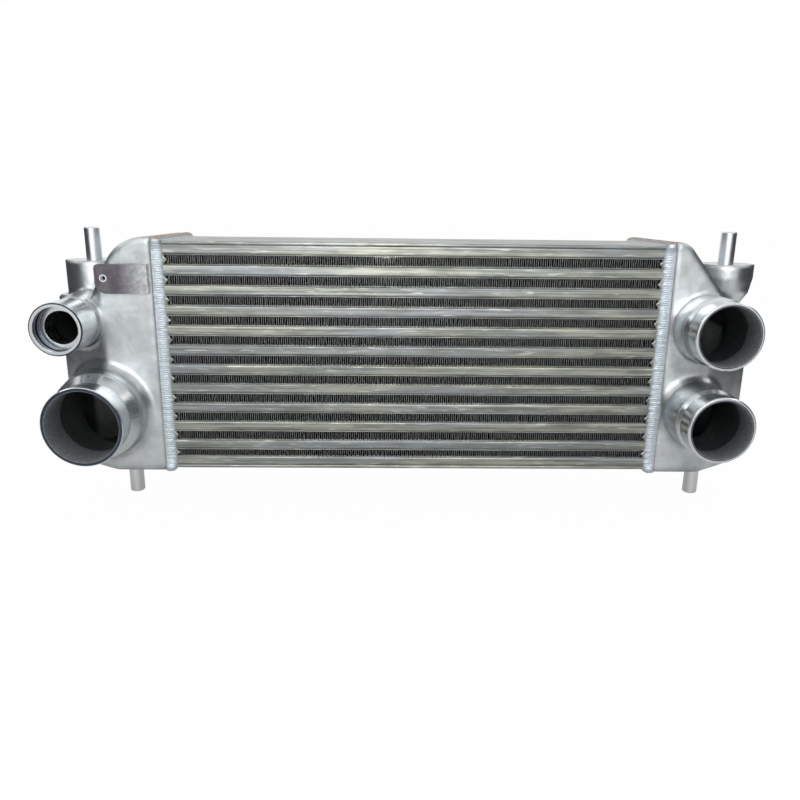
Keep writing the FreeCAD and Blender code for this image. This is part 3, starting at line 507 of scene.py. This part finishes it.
def blasted_casting(colours):
    """Sand-cast aluminium, dressed by hand and blasted: satin, gently wavy and fine-grained."""
    material, tree, shader, place = new_finish("blasted_cast_aluminium", Metallic=1.0)
    clouds = add(tree, "ShaderNodeTexNoise", Vector=place, Scale=every(30),
                 Detail=4.0, Roughness=0.55)
    waves = add(tree, "ShaderNodeTexNoise", Vector=place, Scale=every(21),
                Detail=1.5, Distortion=0.6)
    # Grit of 1 mm: real blasting is finer, and would not show at this distance.
    grit = add(tree, "ShaderNodeTexNoise", Vector=place, Scale=every(1.1), Detail=2.0)
    patches = add(tree, "ShaderNodeMapRange", Value=clouds.outputs[0],
                  From_Min=0.32, From_Max=0.68, To_Min=0.0, To_Max=1.0)
    tone = add(tree, "ShaderNodeMix", COLOUR_MIX, _0=patches.outputs[0],
               _6=opaque(colours.cast_dark), _7=opaque(colours.cast_light))
    gloss = add(tree, "ShaderNodeMapRange", Value=clouds.outputs[0],
                From_Min=0.3, From_Max=0.7, To_Min=0.38, To_Max=0.26)
    soft_edge = add(tree, "ShaderNodeBevel", {"samples": 8}, Radius=8.0 * MM)
    dressed = add(tree, "ShaderNodeBump", Height=waves.outputs[0], Normal=soft_edge.outputs[0],
                  Strength=0.3, Distance=2.2 * MM)
    grain = add(tree, "ShaderNodeBump", Height=grit.outputs[0], Normal=dressed.outputs[0],
                Strength=0.15, Distance=0.3 * MM)
    # Brown bloom on the rims' upper edge, from the heat of the weld.
    spot = add(tree, "ShaderNodeSeparateXYZ", Vector=place)
    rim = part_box("left_end_tank")[1][2]
    bloom = add(tree, "ShaderNodeMapRange", Value=spot.outputs[2],
                From_Min=rim - 1.2 * MM, From_Max=rim - 0.2 * MM, To_Min=0.0, To_Max=1.5)
    tint = add(tree, "ShaderNodeMath", PRODUCT, _0=bloom.outputs[0], _1=waves.outputs[0])
    tinted = add(tree, "ShaderNodeMix", COLOUR_MIX, _0=tint.outputs[0],
                 _6=tone.outputs[2], _7=opaque(colours.heat_tint))
    # Painted shade: the colour darkens towards the shade colour in hollows and corners, by ambient
    # occlusion.
    outside = unshaded_share(tree, closed=0.18, clear=0.5)
    skin = add(tree, "ShaderNodeMix", COLOUR_MIX, _0=outside,
               _6=opaque(colours.dark_skin_and_shade), _7=tinted.outputs[2])
    rough = add(tree, "ShaderNodeMix", _0=outside, _2=CAST_SKIN, _3=gloss.outputs[0])
    tree.links.new(skin.outputs[2], shader.inputs["Base Color"])
    tree.links.new(rough.outputs[0], shader.inputs["Roughness"])
    tree.links.new(grain.outputs[0], shader.inputs["Normal"])
    return material


def turned_neck(colours):
    """Turned aluminium outside, bright with tool rings; dark lip; the bore is as cast and dull,
    with painted shade in its depth.
    """
    material, tree, shader, place = new_finish("turned_aluminium", Metallic=1.0)
    # Tool rings of 1.2 mm: a real feed of 0.2 mm would blur away here.
    along = add(tree, "ShaderNodeMapping", Vector=place, Scale=(0.0, every(1.2), 0.0))
    rings = add(tree, "ShaderNodeTexNoise", Vector=along.outputs[0], Scale=1.0, Detail=1.0)
    stain = add(tree, "ShaderNodeTexNoise", Vector=place, Scale=every(18), Detail=3.0)
    gloss = add(tree, "ShaderNodeMapRange", Value=stain.outputs[0],
                From_Min=0.3, From_Max=0.7, To_Min=0.3, To_Max=0.2)
    soft_edge = add(tree, "ShaderNodeBevel", {"samples": 6}, Radius=0.6 * MM)
    cut = add(tree, "ShaderNodeBump", Height=rings.outputs[0], Normal=soft_edge.outputs[0],
              Strength=0.25, Distance=0.12 * MM)
    # The bores, each a little past its own radius.
    inside = round_mounts(tree, place, *((neck, -20, 0.3) for neck in NECKS))
    skin = add(tree, "ShaderNodeMix", COLOUR_MIX, _0=dark_lip_and_groove_shade(tree, place),
               _6=opaque(colours.turned), _7=opaque(colours.lip))
    # The bore mixes towards the dark skin colour at random pits, and darkens further into its depth
    # by ambient occlusion, which is painted shade.
    as_cast = add(tree, "ShaderNodeTexNoise", Vector=place, Scale=every(2.5), Detail=3.0)
    pitted = add(tree, "ShaderNodeMapRange", Value=as_cast.outputs[0],
                 From_Min=0.3, From_Max=0.7, To_Min=0.42, To_Max=0.68)
    worn = add(tree, "ShaderNodeMix", COLOUR_MIX, _0=pitted.outputs[0],
               _6=opaque(colours.dark_skin_and_shade), _7=opaque(colours.bore))
    bore_unshaded = unshaded_share(tree, closed=0.08, clear=0.5)
    bore = add(tree, "ShaderNodeMix", COLOUR_MIX, _0=bore_unshaded,
               _6=opaque(colours.dark_skin_and_shade), _7=worn.outputs[2])
    tone = add(tree, "ShaderNodeMix", COLOUR_MIX, _0=inside,
               _6=skin.outputs[2], _7=bore.outputs[2])
    dulled = add(tree, "ShaderNodeMix", _0=inside, _2=gloss.outputs[0], _3=CAST_SKIN)
    tree.links.new(tone.outputs[2], shader.inputs["Base Color"])
    tree.links.new(dulled.outputs[0], shader.inputs["Roughness"])
    tree.links.new(cut.outputs[0], shader.inputs["Normal"])
    return material


def dark_lip_and_groove_shade(tree, place):
    """1 on the lips where they face forward, which are painted dark, and in the port's clip groove,
    as painted shade.
    """
    facing = add(tree, "ShaderNodeNewGeometry")
    split = add(tree, "ShaderNodeSeparateXYZ", Vector=facing.outputs["True Normal"])
    forward = add(tree, "ShaderNodeMath", {"operation": "LESS_THAN"}, _0=split.outputs[1], _1=-0.6)
    # The wide neck's whole lip is dark, the others have a dark line at the bore's edge.
    dark_line_widths = (3.0, 1.2, 1.2)
    edges = round_mounts(tree, place, (PORT, 2.6, 4.2),
                         *((neck, -0.4, width) for neck, width in zip(NECKS, dark_line_widths)))
    lip = add(tree, "ShaderNodeMath", PRODUCT, _0=forward.outputs[0], _1=edges)
    # A dark ring in the port's clip groove is painted shade.
    groove = round_mounts(tree, place, (PORT, -0.3, 2.2))
    groove_front = PORT["pos_m"][1] - 2.5 * MM
    spot = add(tree, "ShaderNodeSeparateXYZ", Vector=place)
    behind = add(tree, "ShaderNodeMath", {"operation": "GREATER_THAN"}, _0=spot.outputs[1],
                 _1=groove_front)
    clip = add(tree, "ShaderNodeMath", PRODUCT, _0=behind.outputs[0], _1=groove)
    return add(tree, "ShaderNodeMath", LARGER, _0=lip.outputs[0], _1=clip.outputs[0]).outputs[0]


def brazed_bar(colours):
    """Extruded aluminium after brazing: satin, streaked along its length, stained in spots."""
    material, tree, shader, place = new_finish("brazed_extruded_aluminium", Metallic=1.0)
    # Marks per metre along, into and up a bar: streaks are 170 mm long and 1.4 mm high, and
    # spots 36 mm long and 6 mm high.
    drawn = add(tree, "ShaderNodeMapping", Vector=place, Scale=(6.0, 300.0, 700.0))
    streaks = add(tree, "ShaderNodeTexNoise", Vector=drawn.outputs[0], Scale=1.0, Detail=3.0)
    drawn_spots = add(tree, "ShaderNodeMapping", Vector=place, Scale=(28.0, 80.0, 160.0))
    spots = add(tree, "ShaderNodeTexNoise", Vector=drawn_spots.outputs[0], Scale=1.0, Detail=3.0)
    streak_weight, spot_weight = 0.65, 0.45
    weighted = add(tree, "ShaderNodeMath", PRODUCT, _0=spots.outputs[0], _1=spot_weight)
    mixed = add(tree, "ShaderNodeMath", {"operation": "MULTIPLY_ADD"}, _0=streaks.outputs[0],
                _1=streak_weight, _2=weighted.outputs[0])
    spread = add(tree, "ShaderNodeMapRange", Value=mixed.outputs[0],
                 From_Min=0.44, From_Max=0.66, To_Min=0.0, To_Max=1.0)
    # The flux bloom changes slowly along a bar, and from one bar to the next.
    slow = add(tree, "ShaderNodeMapping", Vector=place, Scale=(5.0, 1.0, 55.0))
    bloom = add(tree, "ShaderNodeTexNoise", Vector=slow.outputs[0], Scale=1.0, Detail=1.0)
    share = add(tree, "ShaderNodeMapRange", Value=bloom.outputs[0], From_Min=0.42, From_Max=0.6,
                To_Min=0.0, To_Max=1.0)
    skin = add(tree, "ShaderNodeMix", COLOUR_MIX, _0=share.outputs[0],
               _6=opaque(colours.bar_cool), _7=opaque(colours.bar_warm))
    tone = add(tree, "ShaderNodeMix", COLOUR_MIX, _0=spread.outputs[0],
               _6=opaque(colours.bar_dark), _7=skin.outputs[2])
    # White flux residue dries in short dashes, 22 mm long and 2.4 mm high.
    drawn_flux = add(tree, "ShaderNodeMapping", Vector=place, Scale=(45.0, 250.0, 420.0))
    dashes = add(tree, "ShaderNodeTexNoise", Vector=drawn_flux.outputs[0], Scale=1.0, Detail=2.0)
    residue = add(tree, "ShaderNodeMapRange", Value=dashes.outputs[0],
                  From_Min=0.6, From_Max=0.74, To_Min=0.0, To_Max=0.5)
    crusted = add(tree, "ShaderNodeMix", COLOUR_MIX, _0=residue.outputs[0],
                  _6=tone.outputs[2], _7=opaque(colours.flux))
    gloss = add(tree, "ShaderNodeMapRange", Value=mixed.outputs[0],
                From_Min=0.3, From_Max=0.8, To_Min=0.42, To_Max=0.26)
    soft_edge = add(tree, "ShaderNodeBevel", {"samples": 6}, Radius=2.2 * MM)
    drawn_relief = add(tree, "ShaderNodeBump", Height=streaks.outputs[0],
                       Normal=soft_edge.outputs[0], Strength=0.25, Distance=0.15 * MM)
    tree.links.new(crusted.outputs[2], shader.inputs["Base Color"])
    tree.links.new(gloss.outputs[0], shader.inputs["Roughness"])
    tree.links.new(drawn_relief.outputs[0], shader.inputs["Normal"])
    return material


def rolled_fin_sheet(colours):
    """Thin rolled aluminium fin: bright on its sheared outer edges, nearly black further in as
    painted shade.
    """
    material, tree, shader, place = new_finish("rolled_fin_aluminium", Metallic=1.0, Roughness=0.5)
    spot = add(tree, "ShaderNodeSeparateXYZ", Vector=place)
    from_middle = add(tree, "ShaderNodeMath", {"operation": "ABSOLUTE"}, _0=spot.outputs[1])
    cut_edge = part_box(FIN_ROWS[0])[1][1]
    outermost = add(tree, "ShaderNodeMapRange", Value=from_middle.outputs[0],
                    From_Min=cut_edge - 0.4 * MM, From_Max=cut_edge - 0.1 * MM,
                    To_Min=0.0, To_Max=1.0)
    uneven = add(tree, "ShaderNodeTexNoise", Vector=place, Scale=every(3), Detail=2.0)
    patchy = add(tree, "ShaderNodeMapRange", Value=uneven.outputs[0],
                 From_Min=0.3, From_Max=0.6, To_Min=0.45, To_Max=1.0)
    shine = add(tree, "ShaderNodeMath", PRODUCT, _0=outermost.outputs[0], _1=patchy.outputs[0])
    tone = add(tree, "ShaderNodeMix", COLOUR_MIX, _0=shine.outputs[0],
               _6=opaque(colours.fin_painted_shade), _7=opaque(colours.fin_edge))
    tree.links.new(tone.outputs[2], shader.inputs["Base Color"])
    return material


def weld_metal(colours):
    """Aluminium weld run: cooler in tone than the casting, satin, duller where smut settled."""
    material, tree, shader, place = new_finish("tig_weld_aluminium", Metallic=1.0)
    smut = add(tree, "ShaderNodeTexNoise", Vector=place, Scale=every(4), Detail=3.0)
    # Brown bloom along the top of the upper run.
    spot = add(tree, "ShaderNodeSeparateXYZ", Vector=place)
    upper = add(tree, "ShaderNodeMapRange", Value=spot.outputs[2], From_Min=PLATE_TOP + 0.5 * MM,
                From_Max=PLATE_TOP + 2.0 * MM, To_Min=0.0, To_Max=1.2)
    amount = add(tree, "ShaderNodeMath", PRODUCT, _0=upper.outputs[0], _1=smut.outputs[0])
    tone = add(tree, "ShaderNodeMix", COLOUR_MIX, _0=amount.outputs[0],
               _6=opaque(colours.weld), _7=opaque(colours.heat_tint))
    tree.links.new(tone.outputs[2], shader.inputs["Base Color"])
    gloss = add(tree, "ShaderNodeMapRange", Value=smut.outputs[0],
                From_Min=0.35, From_Max=0.65, To_Min=0.46, To_Max=0.62)
    tree.links.new(gloss.outputs[0], shader.inputs["Roughness"])
    return material


def ground_steel(colours):
    """Ground and polished steel dowel: bright, softly mirroring, with faint lines along it."""
    material, tree, shader, place = new_finish("ground_steel", Metallic=1.0,
                                               Base_Color=opaque(colours.steel))
    # Lines 1.1 mm apart and 50 mm long: real grinding marks are finer and would not show.
    drawn = add(tree, "ShaderNodeMapping", Vector=place, Scale=(900.0, 900.0, 20.0))
    lines = add(tree, "ShaderNodeTexNoise", Vector=drawn.outputs[0], Scale=1.0, Detail=2.0)
    gloss = add(tree, "ShaderNodeMapRange", Value=lines.outputs[0],
                From_Min=0.3, From_Max=0.7, To_Min=0.26, To_Max=0.36)
    soft_edge = add(tree, "ShaderNodeBevel", {"samples": 4}, Radius=0.5 * MM)
    tree.links.new(gloss.outputs[0], shader.inputs["Roughness"])
    tree.links.new(soft_edge.outputs[0], shader.inputs["Normal"])
    return material


def dull_dowel(colours):
    """Turned aluminium dowel that has been handled: satin with soft smudges."""
    material, tree, shader, place = new_finish("turned_dowel_aluminium", Metallic=1.0,
                                               Base_Color=opaque(colours.dowel))
    smudge = add(tree, "ShaderNodeTexNoise", Vector=place, Scale=every(8), Detail=3.0)
    gloss = add(tree, "ShaderNodeMapRange", Value=smudge.outputs[0],
                From_Min=0.3, From_Max=0.7, To_Min=0.3, To_Max=0.44)
    tree.links.new(gloss.outputs[0], shader.inputs["Roughness"])
    return material


def dark_anodising(colours):
    """Dark anodised sheet: a plum-grey satin skin over aluminium, worn pale at its right end."""
    material, tree, shader, place = new_finish("dark_anodised_aluminium", Metallic=0.8)
    split = add(tree, "ShaderNodeSeparateXYZ", Vector=place)
    low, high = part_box("tab_bracket")
    worn_from = low[0] + 0.45 * (high[0] - low[0])
    fade = add(tree, "ShaderNodeMapRange", Value=split.outputs[0],
               From_Min=worn_from, From_Max=high[0], To_Min=0.0, To_Max=0.75)
    wear = add(tree, "ShaderNodeTexNoise", Vector=place, Scale=every(4), Detail=3.0)
    blotch = add(tree, "ShaderNodeMath", PRODUCT, _0=wear.outputs[0], _1=1.6)
    amount = add(tree, "ShaderNodeMath", PRODUCT, _0=fade.outputs[0], _1=blotch.outputs[0])
    smudge = add(tree, "ShaderNodeTexNoise", Vector=place, Scale=every(11), Detail=2.0)
    handled = add(tree, "ShaderNodeMapRange", Value=smudge.outputs[0],
                  From_Min=0.4, From_Max=0.62, To_Min=0.0, To_Max=0.5)
    dye = add(tree, "ShaderNodeMix", COLOUR_MIX, _0=handled.outputs[0],
              _6=opaque(colours.tab), _7=opaque(colours.bar_dark))
    worn = add(tree, "ShaderNodeMix", COLOUR_MIX, _0=amount.outputs[0],
               _6=dye.outputs[2], _7=opaque(colours.cast_light))
    # The countersink round the hole is cut through the skin.
    sunk = round_mounts(tree, place, (MOUNTS["tab_thread"], -3, 1.2))
    tone = add(tree, "ShaderNodeMix", COLOUR_MIX, _0=sunk,
               _6=worn.outputs[2], _7=opaque(colours.turned))
    gloss = add(tree, "ShaderNodeMapRange", Value=wear.outputs[0],
                From_Min=0.3, From_Max=0.7, To_Min=0.3, To_Max=0.45)
    tree.links.new(tone.outputs[2], shader.inputs["Base Color"])
    tree.links.new(gloss.outputs[0], shader.inputs["Roughness"])
    return material


def bare_tapped_metal(colours):
    """Bare aluminium where the tap cut through the dark skin: bright, with a fine grain."""
    material, tree, shader, place = new_finish("bare_tapped_aluminium", Metallic=1.0,
                                               Base_Color=opaque(colours.turned))
    grain = add(tree, "ShaderNodeTexNoise", Vector=place, Scale=every(0.5), Detail=2.0)
    gloss = add(tree, "ShaderNodeMapRange", Value=grain.outputs[0], To_Min=0.2, To_Max=0.4)
    tree.links.new(gloss.outputs[0], shader.inputs["Roughness"])
    return material


class INTERCOOLER_OT_finishes(bpy.types.Operator):
    """Finish of every machined, cast and brazed piece that keeps its own shape"""
    bl_idname = "intercooler.finishes"
    bl_label = "Metal finishes"

    def execute(self, context):
        colours = context.scene.intercooler_finish
        by_slot = {
            "cast_aluminium": blasted_casting(colours),
            "machined_aluminium": turned_neck(colours),
            "brazed_aluminium": brazed_bar(colours),
            "fin_aluminium": rolled_fin_sheet(colours),
            "polished_steel": ground_steel(colours),
            "turned_aluminium": dull_dowel(colours),
            "anodised_aluminium": dark_anodising(colours),
        }
        # The smooth weld beads get none, because the rippled runs stand in for them.
        for subpart in frame["record"]["subparts"]:
            finish = by_slot.get(subpart["material_slot"])
            if finish:
                for slot in nodes[subpart["node"]].material_slots:
                    slot.material = finish
        return {"FINISHED"}


def backdrop_light(tree):
    """1 for rays that should meet a plain white background, 0 for the rest."""
    ray = add(tree, "ShaderNodeLightPath")
    seen = add(tree, "ShaderNodeMath", LARGER,
               _0=ray.outputs["Is Camera Ray"], _1=ray.outputs["Is Glossy Ray"])
    return add(tree, "ShaderNodeMath", LARGER,
               _0=seen.outputs[0], _1=ray.outputs["Is Transmission Ray"]).outputs[0]


class INTERCOOLER_OT_stage(bpy.types.Operator):
    """White floor, soft lamps and the camera at the photograph's place"""
    bl_idname = "intercooler.stage"
    bl_label = "Stage"

    def execute(self, context):
        scene = context.scene
        settings = scene.intercooler_stage
        scene.view_settings.view_transform = "Standard"
        self.lay_floor(settings)
        self.hang_cloths(settings)
        self.light_room(scene, settings)
        self.aim_camera(scene)
        return {"FINISHED"}

    def lay_floor(self, settings):
        """Round sheet of white paper that the pins stand on."""
        gap = 0.2 * MM
        seen_glow = 0.985
        dim_within, white_beyond, dimmed = 0.9, 2.6, 0.32
        paper = bpy.data.materials.new("white_paper_matt")
        tree = empty_tree(paper)
        matt = add(tree, "ShaderNodeBsdfDiffuse", Color=opaque(settings.table))
        glow = add(tree, "ShaderNodeEmission", Color=opaque(settings.paper), Strength=1.0)
        # Seen directly the paper is nearly all glow. Metal sees it darker close to the object,
        # where the object stands in its light, and white further away.
        ray = add(tree, "ShaderNodeLightPath")
        mirrored = add(tree, "ShaderNodeMath", LARGER,
                       _0=ray.outputs["Is Glossy Ray"], _1=ray.outputs["Is Transmission Ray"])
        place = add(tree, "ShaderNodeTexCoord").outputs["Object"]
        away = add(tree, "ShaderNodeVectorMath", {"operation": "LENGTH"}, _0=place)
        bright = add(tree, "ShaderNodeMapRange", Value=away.outputs["Value"],
                     From_Min=dim_within, From_Max=white_beyond, To_Min=dimmed, To_Max=1.0)
        mirrored_glow = add(tree, "ShaderNodeMath", PRODUCT,
                            _0=mirrored.outputs[0], _1=bright.outputs[0])
        share = add(tree, "ShaderNodeMath", {"operation": "MULTIPLY_ADD"},
                    _0=ray.outputs["Is Camera Ray"], _1=seen_glow, _2=mirrored_glow.outputs[0])
        mixed = add(tree, "ShaderNodeMixShader", _0=share.outputs[0],
                    _1=matt.outputs[0], _2=glow.outputs[0])
        add(tree, "ShaderNodeOutputMaterial", Surface=mixed.outputs[0])
        bm = bmesh.new()
        bmesh.ops.create_circle(bm, cap_ends=True, segments=96, radius=30.0)
        floor = place_mesh("floor", bm, paper)
        floor.location = (STAGE_MIDDLE, 0.0, cad_box[0][2] - gap)

    def hang_cloths(self, settings):
        """Dark cloths on the floor and up at both sides, which only reflections see."""
        near, far = 0.9, 1.6
        half_span, panels = 48, 24
        felt = bpy.data.materials.new("dark_felt")
        tree = empty_tree(felt)
        plain = add(tree, "ShaderNodeEmission", Color=opaque(settings.cloth), Strength=1.0)
        add(tree, "ShaderNodeOutputMaterial", Surface=plain.outputs[0])
        bm = bmesh.new()
        foot = Vector((STAGE_MIDDLE, 0.0, cad_box[0][2]))
        rise = Vector((0.0, 0.0, settings.cloth_height))
        for middle in (0.0, math.pi):
            columns = []
            for step in range(panels + 1):
                turn = middle + math.radians(half_span * (2 * step / panels - 1))
                ray = Vector((math.cos(turn), math.sin(turn), 0.0))
                spots = (ray * near, ray * far, ray * far + rise)
                columns.append([bm.verts.new(foot + spot) for spot in spots])
            for column, following in zip(columns, columns[1:]):
                for lower in (0, 1):
                    bm.faces.new((column[lower], following[lower],
                                  following[lower + 1], column[lower + 1]))
        cloths = place_mesh("dark_cloths", bm, felt)
        cloths.visible_camera = False
        cloths.visible_diffuse = False
        cloths.visible_shadow = False

    def light_room(self, scene, settings):
        """White surroundings, one large lamp in front and one at each side."""
        scene.world = bpy.data.worlds.new("studio")
        tree = empty_tree(scene.world)
        white = add(tree, "ShaderNodeBackground", Color=opaque(settings.paper), Strength=1.0)
        dim = add(tree, "ShaderNodeBackground", Color=opaque(settings.paper), Strength=settings.sky)
        mixed = add(tree, "ShaderNodeMixShader", _0=backdrop_light(tree),
                    _1=dim.outputs[0], _2=white.outputs[0])
        add(tree, "ShaderNodeOutputWorld", Surface=mixed.outputs[0])
        lamps = (
            ("key_lamp", (0.2, -2.1, 0.9), 1.8, settings.key_power),
            ("left_fill_lamp", (-1.5, -0.2, 1.3), 1.0, settings.fill_power),
            ("right_fill_lamp", (2.1, -0.2, 1.3), 1.0, settings.fill_power),
        )
        target = (SHEET_LOW + SHEET_HIGH) / 2
        target.z = 0.1
        for name, spot, size, power in lamps:
            light = bpy.data.lights.new(name, "AREA")
            light.shape = "DISK"
            light.size = size
            light.energy = power
            lamp = bpy.data.objects.new(name, light)
            lamp.location = spot
            lamp.rotation_euler = (target - Vector(spot)).to_track_quat("-Z", "Y").to_euler()
            scene.collection.objects.link(lamp)

    def aim_camera(self, scene):
        """Camera at the place, angles and lens that a fit to the photograph gave."""
        place = (0.2891, -0.794, 0.2754)
        yaw = math.radians(-1.21)
        pitch = math.radians(14.90)
        roll = math.radians(0.66)
        level = Vector((math.cos(yaw), math.sin(yaw), 0.0))
        forward = Vector((-math.sin(yaw), math.cos(yaw), 0.0))
        plumb = Vector((0.0, 0.0, 1.0))
        ahead = forward * math.cos(pitch) - plumb * math.sin(pitch)
        upright = forward * math.sin(pitch) + plumb * math.cos(pitch)
        right = level * math.cos(roll) + upright * math.sin(roll)
        up = upright * math.cos(roll) - level * math.sin(roll)
        lens = bpy.data.cameras.new("camera")
        lens.sensor_width = 36.0
        lens.lens = 32.36
        camera = bpy.data.objects.new("camera", lens)
        turn = Matrix((right, up, -ahead)).transposed().to_4x4()
        camera.matrix_world = Matrix.Translation(place) @ turn
        scene.collection.objects.link(camera)
        scene.camera = camera


class INTERCOOLER_PT_panel(bpy.types.Panel):
    """Every step and its settings, in the order of building"""
    bl_idname = "INTERCOOLER_PT_panel"
    bl_label = "Intercooler"
    bl_space_type = "VIEW_3D"
    bl_region_type = "UI"
    bl_category = "Intercooler"

    def draw(self, context):
        scene = context.scene
        for step in STEPS:
            self.layout.operator(step.bl_idname)
        for group, holder in SETTINGS.items():
            box = self.layout.box()
            for key in holder.__annotations__:
                box.prop(getattr(scene, group), key)


SETTINGS = {
    "intercooler_fins": FinSizes,
    "intercooler_beads": BeadSizes,
    "intercooler_finish": FinishColours,
    "intercooler_stage": StageSettings,
}
STEPS = (
    INTERCOOLER_OT_finishes,
    INTERCOOLER_OT_fins,
    INTERCOOLER_OT_braze,
    INTERCOOLER_OT_beads,
    INTERCOOLER_OT_thread,
    INTERCOOLER_OT_stage,
)


def register():
    for holder in (*SETTINGS.values(), *STEPS, INTERCOOLER_PT_panel):
        bpy.utils.register_class(holder)
    for group, holder in SETTINGS.items():
        setattr(bpy.types.Scene, group, PointerProperty(type=holder))


def unregister():
    for group in SETTINGS:
        delattr(bpy.types.Scene, group)
    for holder in reversed((*SETTINGS.values(), *STEPS, INTERCOOLER_PT_panel)):
        bpy.utils.unregister_class(holder)


def main():
    register()
    bpy.ops.intercooler.finishes()
    bpy.ops.intercooler.fins()
    bpy.ops.intercooler.braze()
    bpy.ops.intercooler.beads()
    bpy.ops.intercooler.thread()
    bpy.ops.intercooler.stage()


if __name__ == "__main__":
    main()
